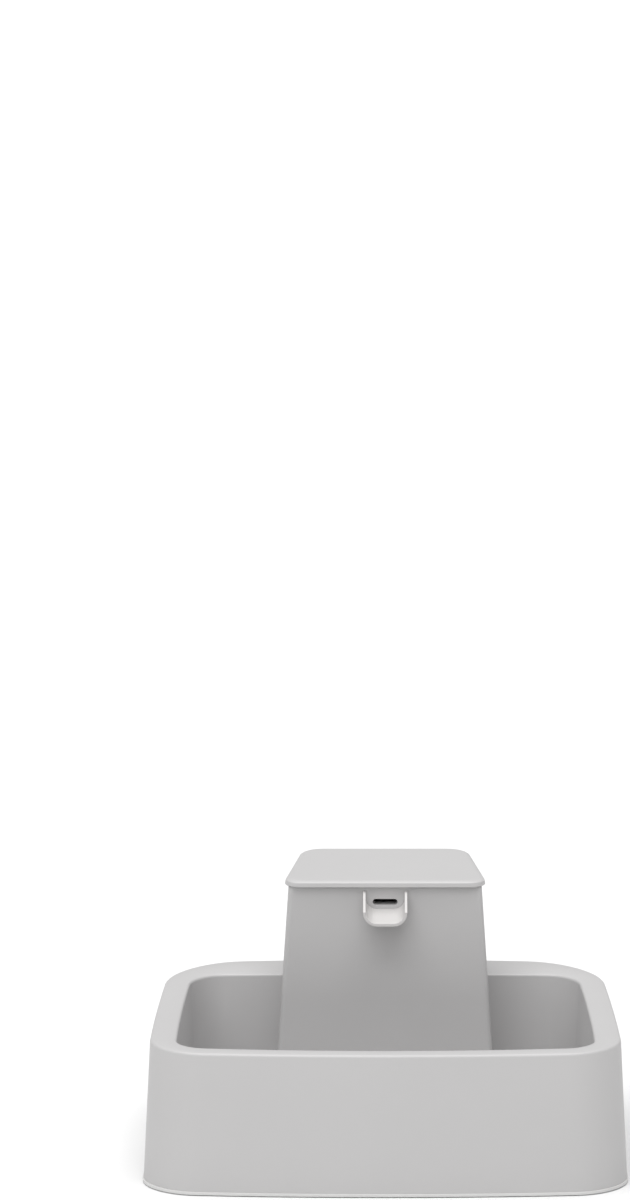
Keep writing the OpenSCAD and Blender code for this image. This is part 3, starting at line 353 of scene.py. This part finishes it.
def addBump(nodes, links, shader, body, distance, strength):
    bump = nodes.new("ShaderNodeBump")
    setInputs(bump, {"Distance": distance, "Strength": strength})
    links.new(body.outputs["Height"], bump.inputs["Height"])
    links.new(bump.outputs["Normal"], shader.inputs["Normal"])


def soaked(weight, *radius):
    # a plastic that light soaks into, by so many mm in red, green and blue
    return {
        "Subsurface_Weight": weight,
        "Subsurface_Radius": [reach * mm for reach in radius],
        "Subsurface_Scale": 1.0,
    }


def moulded(name, base, shade, roughness=0.5, spread=0.1, grain=1500.0, drift=9.0, relief=0.12, **plain):
    # a moulded plastic or rubber; plain holds the shader's own constants
    material, nodes, links, shader = newMaterial(name)
    skin = addGroup(
        nodes, "skin", Base=base, Shade=shade, Roughness=roughness,
        Roughness_Spread=spread, Grain_Scale=grain, Drift_Scale=drift,
    )
    links.new(skin.outputs["Color"], shader.inputs["Base Color"])
    links.new(skin.outputs["Roughness"], shader.inputs["Roughness"])
    addBump(nodes, links, shader, skin, reliefDepth["skin"], relief)
    setInputs(shader, plain)
    return material


def grainy(name, light, dark, cells, patch, roughness, relief, **plain):
    # a mass of cells or granules; plain holds the shader's own constants
    material, nodes, links, shader = newMaterial(name)
    body = addGroup(nodes, "granules", Light=light, Dark=dark, Cell_Scale=cells, Patch_Scale=patch)
    links.new(body.outputs["Color"], shader.inputs["Base Color"])
    shader.inputs["Roughness"].default_value = roughness
    addBump(nodes, links, shader, body, reliefDepth["granules"], relief)
    setInputs(shader, plain)
    return material


def layered(name, light, dark, axis, bands, metallic, relief):
    # a stack of sheets or a winding, in so many bands to the metre along the axis
    material, nodes, links, shader = newMaterial(name)
    body = addGroup(nodes, "layers", Light=light, Dark=dark, Axis=axis, Bands=bands)
    links.new(body.outputs["Color"], shader.inputs["Base Color"])
    links.new(body.outputs["Roughness"], shader.inputs["Roughness"])
    shader.inputs["Metallic"].default_value = metallic
    addBump(nodes, links, shader, body, reliefDepth["layers"], relief)
    return material


greyPlastic = moulded("greyPlastic", paint(187, 186, 186), paint(181, 180, 180), 0.44)
scoopPlastic = moulded("scoopPlastic", paint(201, 199, 198), paint(196, 194, 193), 0.38, grain=900.0)
footPlastic = moulded("footPlastic", paint(208, 208, 207), paint(202, 202, 201), 0.5)
valvePlastic = moulded("valvePlastic", paint(186, 185, 184), paint(179, 178, 177), 0.36)
riserPlastic = moulded("riserPlastic", paint(184, 182, 180), paint(178, 175, 173), 0.4, drift=20.0)
whitePlastic = moulded(
    "whitePlastic", paint(237, 237, 238), paint(233, 233, 234), 0.34, relief=0.05,
    **soaked(0.3, 5, 5, 5),
)
milkPlastic = moulded(
    "milkPlastic", paint(238, 238, 239), paint(234, 234, 235), 0.36, relief=0.05,
    **soaked(0.9, 12, 12, 12),
)
frostedPlastic = moulded(
    "frostedPlastic", paint(238, 238, 239), paint(234, 234, 235), 0.36, relief=0.05,
    **soaked(0.6, 8, 8, 8),
)
screenPlastic = moulded("screenPlastic", paint(232, 232, 230), paint(224, 224, 222), 0.45)
blackPlastic = moulded(
    "blackPlastic", paint(20, 18, 18), paint(14, 13, 13), 0.26, 0.2, grain=1100.0,
    Specular_IOR_Level=1.0,
)
resinGloss = moulded(
    "resinGloss", paint(18, 16, 16), paint(30, 22, 20), 0.12, 0.12, grain=240.0, drift=45.0,
    relief=0.25, Specular_IOR_Level=0.22,
)
bluePlastic = moulded("bluePlastic", paint(56, 178, 203), paint(48, 168, 194), 0.3, relief=0.06)
softRubber = moulded("softRubber", paint(26, 26, 27), paint(34, 34, 34), 0.52, 0.16)
footRubber = moulded("footRubber", paint(58, 58, 58), paint(46, 46, 46), 0.72, 0.12)
sealRubber = moulded("sealRubber", paint(88, 89, 93), paint(76, 77, 80), 0.62)
cordJacket = moulded("cordJacket", paint(24, 24, 25), paint(30, 30, 30), 0.36, 0.14, grain=700.0)
grommetSilicone = moulded(
    "grommetSilicone", paint(226, 226, 223), paint(216, 216, 213), 0.4, relief=0.05,
    **soaked(0.3, 3, 3, 3),
)
washerSilicone = moulded("washerSilicone", paint(222, 222, 218), paint(210, 210, 206), 0.55)
ceramic = moulded("ceramic", paint(233, 230, 222), paint(226, 222, 212), 0.16, 0.06)
ferrite = moulded("ferrite", paint(46, 46, 50), paint(36, 36, 40), 0.48, 0.2, grain=2600.0)
screwZinc = moulded("screwZinc", paint(190, 190, 188), paint(170, 170, 168), 0.3, 0.2, Metallic=1.0)
plugNickel = moulded("plugNickel", paint(196, 197, 199), paint(182, 183, 186), 0.2, 0.1, Metallic=1.0)
contactGold = moulded("contactGold", paint(216, 176, 96), paint(196, 156, 80), 0.25, Metallic=1.0)
coreSheets = layered(
    "coreSheets", paint(138, 140, 144), paint(64, 66, 70), (0, 0, 1), 1800.0, 1.0, 0.5
)
# winding: the dark tone is painted shade in the grooves between turns
enamelWire = layered(
    "enamelWire", paint(196, 108, 54), paint(86, 40, 18), (1, 0, 0), 2400.0, 0.8, 0.8
)
# foam: the dark tone is painted shade in the gaps between cells; the patches are random tone
openFoam = grainy(
    "openFoam", paint(243, 240, 236), paint(236, 231, 225), 1100.0, 45.0, 0.95, 0.3,
    **soaked(0.5, 6, 6, 5),
)
# carbon: the tone runs dark into the gaps between granules as painted shade; the patches are random tone
carbonMix = grainy("carbonMix", paint(70, 70, 70), paint(16, 16, 16), 520.0, 120.0, 0.6, 1.0)
print("materials made")


# ---- cords

cordSetup = {
    "diameter": 3.2 * mm,
    "exit": (-49.6 * mm, 133.5 * mm, 4.9 * mm),  # the notch in the rear wall
    "coilAt": (-28.4 * mm, 170.0 * mm, 0.8 * mm),  # its middle, resting on the tie
    "outer": 21.2 * mm,  # the outermost turn's middle line
    "spiralTurns": 2.1,
    "rise": 102.0,  # degrees of arc in which a layer steps up to the next
    "layers": 4,
    "stepsPerTurn": 20,
    "smoothness": 4,  # steps between two points of the route, and of the round jacket
    "jacket": cordJacket,
}

# routes in mm: lead and tail of the free cord, the pump's lead, and the lead in the rear wall
leadRoute = [
    (-49.6, 133.5, 4.9), (-49.6, 139, 4.5), (-49.6, 145, 3.3), (-49.6, 151, 2.1),
    (-49.6, 157, 1.7), (-49.6, 163.5, 2),
]
tailRoute = [
    (-21.5, 191.2, 11.8), (-14.5, 191.4, 10.7), (-7.5, 191.8, 8.7), (-0.5, 192.4, 6.3),
    (6.5, 193.2, 3.9), (13.5, 194.2, 2.2), (20.5, 195.4, 1.6), (28, 196.4, 1.8),
    (35, 197, 2.6), (42, 197, 3.6), (48, 197, 4.2), (53, 197, 4.4),
]
pumpRoute = [
    (-32.2, 54.8, 34), (-38.5, 54.8, 34), (-43.5, 55.1, 34.6), (-48.5, 56, 36.6), (-53, 57.4, 40.4),
    (-56.5, 59.2, 46), (-58.5, 61.2, 53), (-59.2, 63.5, 61.81), (-58.8, 66, 70.62),
    (-57.6, 68.5, 79.44), (-56, 71, 88.25), (-54.2, 73.5, 97.06), (-52.4, 76.2, 105.87),
    (-50.8, 79.5, 114.69), (-49.8, 83.2, 123.5), (-49.2, 87.4, 130.4), (-49, 91.6, 134.8),
    (-49.2, 95.4, 136.4), (-49.4, 98.4, 134.8), (-49.6, 99.6, 130.8), (-49.6, 99.8, 126.8),
    (-49.6, 99.8, 123.1),
]
wallRoute = [
    (-49.6, 99.8, 122.8), (-49.6, 99.8, 106), (-49.6, 100.11, 95.14), (-49.6, 100.43, 84.29),
    (-49.6, 100.74, 73.43), (-49.6, 101.06, 62.57), (-49.6, 101.37, 51.71), (-49.6, 101.69, 40.86),
    (-49.6, 102, 30), (-49.6, 102.4, 23.5), (-49.6, 104.2, 17), (-49.6, 107.8, 11.4),
    (-49.6, 112.6, 7.4), (-49.6, 118.4, 5.4), (-49.6, 125, 4.9), (-49.6, 133.5, 4.9),
]


def metres(route):
    return [Vector(p) * mm for p in route]


def coilPoints(setup):
    # layers wound in and out by turns, each stepping up at its end; clockwise from the left
    sweep = 360 * setup["spiralTurns"]
    span = setup["diameter"] * setup["spiralTurns"]
    inner = setup["outer"] - span
    total = setup["layers"] * sweep + (setup["layers"] - 1) * setup["rise"]
    count = round(total / 360 * setup["stepsPerTurn"])
    points = []
    for k in range(count + 1):
        turned = total * k / count
        layer, place = divmod(turned, sweep + setup["rise"])
        if layer >= setup["layers"]:
            layer, place = setup["layers"] - 1, sweep
        share = min(place / sweep, 1)
        radius = setup["outer"] - span * share if layer % 2 == 0 else inner + span * share
        lift = max(0, (place - sweep) / setup["rise"])
        lift = lift * lift * (3 - 2 * lift)  # eased, so that no step kinks
        angle = math.radians(180 - turned)
        points.append(Vector((
            setup["coilAt"][0] + radius * math.cos(angle),
            setup["coilAt"][1] + radius * math.sin(angle),
            setup["coilAt"][2] + setup["diameter"] * (0.5 + layer + lift),
        )))
    return points


def cordCurve(name, points, setup):
    curve = bpy.data.curves.new(name, "CURVE")
    curve.dimensions = "3D"
    curve.bevel_depth = setup["diameter"] / 2
    curve.bevel_resolution = curve.resolution_u = setup["smoothness"]
    curve.use_fill_caps = True
    spline = curve.splines.new("BEZIER")
    spline.bezier_points.add(len(points) - 1)
    for place, point in zip(spline.bezier_points, points):
        place.co = point
        place.handle_left_type = place.handle_right_type = "AUTO"
    curve.materials.append(setup["jacket"])
    return showObject(name, curve)


freeRoute = metres(leadRoute) + coilPoints(cordSetup) + metres(tailRoute)
freeCord = cordCurve("freeCord", freeRoute, cordSetup)
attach(freeCord, "base")
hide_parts("supply_cord", "cord_coil")

wallCord = cordCurve("wallCord", metres(wallRoute), cordSetup)
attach(wallCord, "base")
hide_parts("wall_lead")

pumpCurve = cordCurve("pumpCurve", metres(pumpRoute), cordSetup)
pumpMesh = finalMesh(pumpCurve, "pumpCord")
bpy.data.objects.remove(pumpCurve)
pumpMesh.shade_smooth()
pumpCord = showObject("pumpCord", pumpMesh)
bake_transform(pumpCord)
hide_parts("pump_lead")
print("cords laid")


# ---- foam block

foamSetup = {
    "voxel": 1.0 * mm,
    "relaxFactor": 0.5,
    "relaxSteps": 34,
    "inset": 0.3 * mm,
    "lump": 1.3 * mm,  # depth of the slow waves in its cut faces
    "waves": [(55, 0.8), (140, 0.35)],  # how close together, and how strong
    "waveLift": 0.4,
    "pit": 1.05 * mm,
    "pitWave": 520,
    # scissor cuts across the front view: corner (left -1, right 1; bottom -1, top 1), run, rise
    "cuts": [(1, 1, 16, 10), (-1, -1, 14, 10), (-1, -1, 40, 4), (-1, 1, 7, 4), (1, -1, 4, 9)],
}


def trimCorner(place, low, high, cut):
    # moves a point that lies beyond the cut straight back onto it
    side, level, run, rise = cut
    across = (high.x - place.x) if side > 0 else (place.x - low.x)
    up = (high.z - place.z) if level > 0 else (place.z - low.z)
    run, rise = run * mm, rise * mm
    beyond = 1 - across / run - up / rise
    if beyond > 0:
        size = 1 / run ** 2 + 1 / rise ** 2
        place.x -= side * beyond / run / size
        place.z -= level * beyond / rise / size


def makeFoam(setup):
    rough = showObject("foamRough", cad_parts["foam_block"].data.copy())
    voxels = rough.modifiers.new("voxels", "REMESH")
    voxels.mode = "VOXEL"
    voxels.voxel_size = setup["voxel"]
    relax = rough.modifiers.new("relax", "SMOOTH")
    relax.factor = setup["relaxFactor"]
    relax.iterations = setup["relaxSteps"]
    mesh = finalMesh(rough, "foamBlock")
    bpy.data.objects.remove(rough)
    low = Vector([min(v.co[k] for v in mesh.vertices) for k in range(3)])
    high = Vector([max(v.co[k] for v in mesh.vertices) for k in range(3)])
    moves = []
    for vertex in mesh.vertices:
        waves = sum(noise.noise(vertex.co * scale) * share for scale, share in setup["waves"])
        pits = max(0, noise.noise(vertex.co * setup["pitWave"])) ** 2
        lumps = max(0, waves + setup["waveLift"])
        depth = setup["inset"] + setup["lump"] * lumps + setup["pit"] * pits
        place = vertex.co - vertex.normal * depth
        for cut in setup["cuts"]:
            trimCorner(place, low, high, cut)
        moves.append(place)
    for vertex, place in zip(mesh.vertices, moves):
        vertex.co = place
    mesh.materials.clear()
    mesh.materials.append(openFoam)
    mesh.shade_smooth()
    foam = showObject("foamBlock", mesh)
    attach(foam, "foam")
    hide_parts("foam_block")


makeFoam(foamSetup)
print("foam made")


# ---- USB contacts

contactSetup = {
    "count": 4,
    "pitch": 2.3 * mm,
    "width": 1.0 * mm,
    "behind": 2.0 * mm,  # bare tongue between the plug's body and the strips
    "ahead": 0.8 * mm,  # and between the strips and the tongue's end
    "proud": 0.12 * mm,
    "sunk": 0.3 * mm,
}


def makeContacts(node, setup):
    # gold strips along the tongue's lower face, which is the one that a socket meets
    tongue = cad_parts[node]
    box = [tongue.matrix_world @ Vector(corner) for corner in tongue.bound_box]
    low = [min(corner[k] for corner in box) for k in range(3)]
    high = [max(corner[k] for corner in box) for k in range(3)]
    points, faces = [], []
    for k in range(setup["count"]):
        middle = (low[1] + high[1]) / 2 + (k - (setup["count"] - 1) / 2) * setup["pitch"]
        start = len(points)
        for x in (low[0] + setup["behind"], high[0] - setup["ahead"]):
            for y in (middle - setup["width"] / 2, middle + setup["width"] / 2):
                for z in (low[2] - setup["proud"], low[2] + setup["sunk"]):
                    points.append((x, y, z))
        for loop in ((0, 1, 3, 2), (4, 6, 7, 5), (0, 4, 5, 1), (2, 3, 7, 6), (0, 2, 6, 4), (1, 5, 7, 3)):
            faces.append([start + corner for corner in loop])
    contacts = newPiece("plugContacts", points, faces, contactGold)
    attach(contacts, "base")
    return contacts


plugContacts = makeContacts("plug_tongue", contactSetup)
print("contacts made")


# ---- dressing of the CAD pieces

dressSetup = {
    "weld": 0.02 * mm,
    "flattest": 0.6,  # degrees; faces that meet at less become one
    "corner": 28,  # degrees; sharper edges are rounded
    "steps": 2,
    "fold": 33,  # degrees; sharper edges stay crisp on a piece that isn't rounded
}


def makeSmoother(angle):
    # smooth shading that stops at edges sharper than the angle
    tree = bpy.data.node_groups.new("smoother", "GeometryNodeTree")
    tree.interface.new_socket("Geometry", in_out="INPUT", socket_type="NodeSocketGeometry")
    tree.interface.new_socket("Geometry", in_out="OUTPUT", socket_type="NodeSocketGeometry")
    entry = tree.nodes.new("NodeGroupInput")
    outcome = tree.nodes.new("NodeGroupOutput")
    faces = tree.nodes.new("GeometryNodeSetShadeSmooth")
    faces.domain = "FACE"
    edges = tree.nodes.new("GeometryNodeSetShadeSmooth")
    edges.domain = "EDGE"
    edges.inputs["Shade Smooth"].default_value = False
    fold = tree.nodes.new("GeometryNodeInputMeshEdgeAngle")
    sharp = mathNode(tree, "GREATER_THAN", fold.outputs["Unsigned Angle"], math.radians(angle))
    tree.links.new(entry.outputs[0], faces.inputs["Geometry"])
    tree.links.new(faces.outputs[0], edges.inputs["Geometry"])
    tree.links.new(sharp, edges.inputs["Selection"])
    tree.links.new(edges.outputs[0], outcome.inputs[0])
    return tree


smoother = makeSmoother(dressSetup["fold"])


def dress(node, material, edge, setup):
    # a finish and rounded edges on a piece that keeps its own shape
    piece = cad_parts[node]
    piece.data.materials.clear()
    piece.data.materials.append(material)
    weld = piece.modifiers.new("weld", "WELD")
    weld.merge_threshold = setup["weld"]
    if not edge:
        piece.modifiers.new("smooth", "NODES").node_group = smoother
        return
    flat = piece.modifiers.new("flat", "DECIMATE")
    flat.decimate_type = "DISSOLVE"
    flat.angle_limit = math.radians(setup["flattest"])
    bevel = piece.modifiers.new("edges", "BEVEL")
    bevel.width = edge * mm
    bevel.segments = setup["steps"]
    bevel.limit_method = "ANGLE"
    bevel.angle_limit = math.radians(setup["corner"])
    shade = piece.modifiers.new("shade", "WEIGHTED_NORMAL")
    shade.keep_sharp = False


# each piece's finish, and how far its edges are rounded in mm
finishes = {
    "basin_tub": (greyPlastic, 0),  # its own shape has the rounded rim
    "base_plate": (footPlastic, 0.3),
    "rubber_feet": (footRubber, 0.15),
    "base_screws": (screwZinc, 0.12),
    "cord_grommet": (grommetSilicone, 0.3),
    "cord_tie": (softRubber, 0.3),
    "plug_body": (cordJacket, 0.5),
    "plug_shell": (plugNickel, 0.1),
    "plug_tongue": (whitePlastic, 0.1),
    "pump_housing": (blackPlastic, 0.5),
    "resin_panel": (resinGloss, 0.15),
    "inlet_cover": (bluePlastic, 0.5),
    "impeller": (whitePlastic, 0.2),
    "rotor_magnet": (ferrite, 0.4),
    "impeller_shaft": (ceramic, 0.1),
    "shaft_bushes": (softRubber, 0.2),
    "stator_core": (coreSheets, 0.1),
    "coil_windings": (enamelWire, 0.4),
    "suction_cups": (softRubber, 0.2),
    "lead_gland": (softRubber, 0.3),
    "filter_tray": (milkPlastic, 0.35),
    "filter_cartridge": (whitePlastic, 0.35),
    "filter_media": (carbonMix, 0.3),
    "media_screen": (screenPlastic, 0.15),
    "filter_funnel": (frostedPlastic, 0.4),
    "riser_front": (riserPlastic, 0.3),
    "riser_rear": (riserPlastic, 0.3),
    "tower_shell": (greyPlastic, 0.6),
    "spout_scoop": (scoopPlastic, 0.5),
    "pipe_seal": (sealRubber, 0.2),
    "valve_washer": (washerSilicone, 0.1),
    "flow_valve": (valvePlastic, 0.35),
    "lid": (greyPlastic, 0.3),
}
for name, (material, edge) in finishes.items():
    dress(name, material, edge, dressSetup)
print("pieces dressed")
